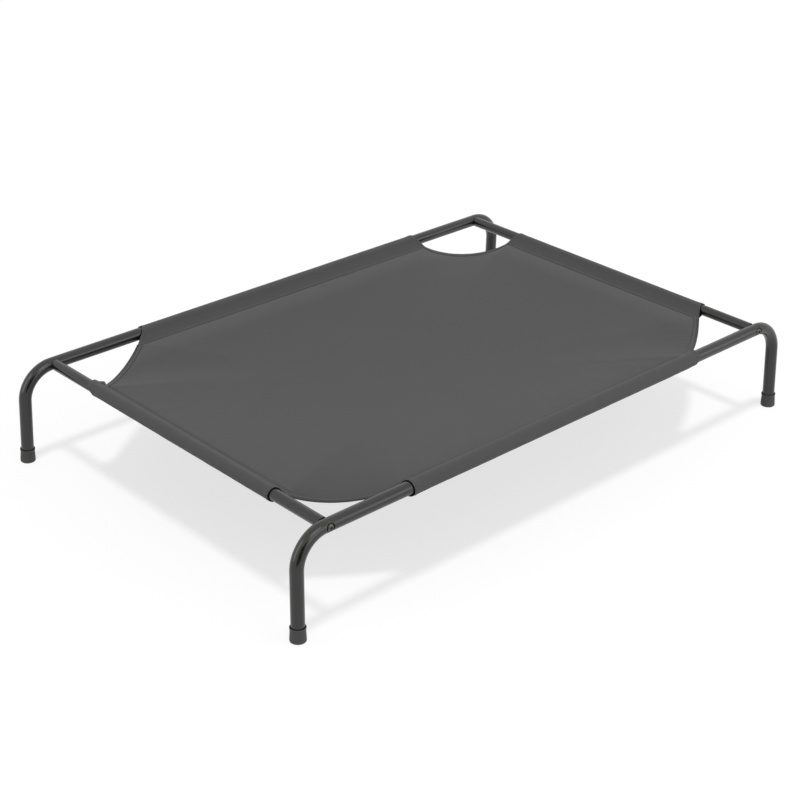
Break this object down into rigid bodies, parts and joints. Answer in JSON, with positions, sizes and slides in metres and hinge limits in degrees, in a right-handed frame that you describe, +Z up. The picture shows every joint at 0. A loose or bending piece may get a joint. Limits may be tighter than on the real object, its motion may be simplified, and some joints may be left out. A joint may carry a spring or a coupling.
{
  "type": "raised dog bed",
  "caption": "Low raised pet bed: a taut cloth sheet with sewn sleeves on a bolted frame of bent round tube with rubber foot caps.",
  "frame": {"origin": "on the floor, under the middle of the bed", "axes": "+X along the bed's long side, +Y across the bed, +Z up"},
  "size_m": [1.3358, 0.863, 0.208],
  "materials": {
    "powder_coat": "semi-gloss charcoal powder coat",
    "bolt_finish": "satin black zinc",
    "plug_steel": "plain turned steel",
    "foot_rubber": "matt moulded rubber",
    "sheet_cloth": "fine plain weave, dark grey",
    "sleeve_cloth": "dense plain weave, darker grey",
    "binding_tape": "folded woven tape with two rows of stitching"
  },
  "bodies": {
    "root": {"side_tube_near_left": "powder_coat", "side_tube_near_right": "powder_coat", "side_tube_far_left": "powder_coat", "side_tube_far_right": "powder_coat", "end_rail_left": "powder_coat", "end_rail_right": "powder_coat", "frame_bolt_near_left": "bolt_finish", "frame_bolt_near_right": "bolt_finish", "frame_bolt_far_left": "bolt_finish", "frame_bolt_far_right": "bolt_finish", "nut_plug_near_left": "plug_steel", "nut_plug_near_right": "plug_steel", "nut_plug_far_left": "plug_steel", "nut_plug_far_right": "plug_steel", "foot_cap_near_left": "foot_rubber", "foot_cap_near_right": "foot_rubber", "foot_cap_far_left": "foot_rubber", "foot_cap_far_right": "foot_rubber", "sheet_panel": "sheet_cloth", "side_sleeve_near": "sleeve_cloth", "side_sleeve_far": "sleeve_cloth", "end_sleeve_left": "sleeve_cloth", "end_sleeve_right": "sleeve_cloth", "corner_binding_near_left": "binding_tape", "corner_binding_near_right": "binding_tape", "corner_binding_far_left": "binding_tape", "corner_binding_far_right": "binding_tape"}
  },
  "joints": []
}
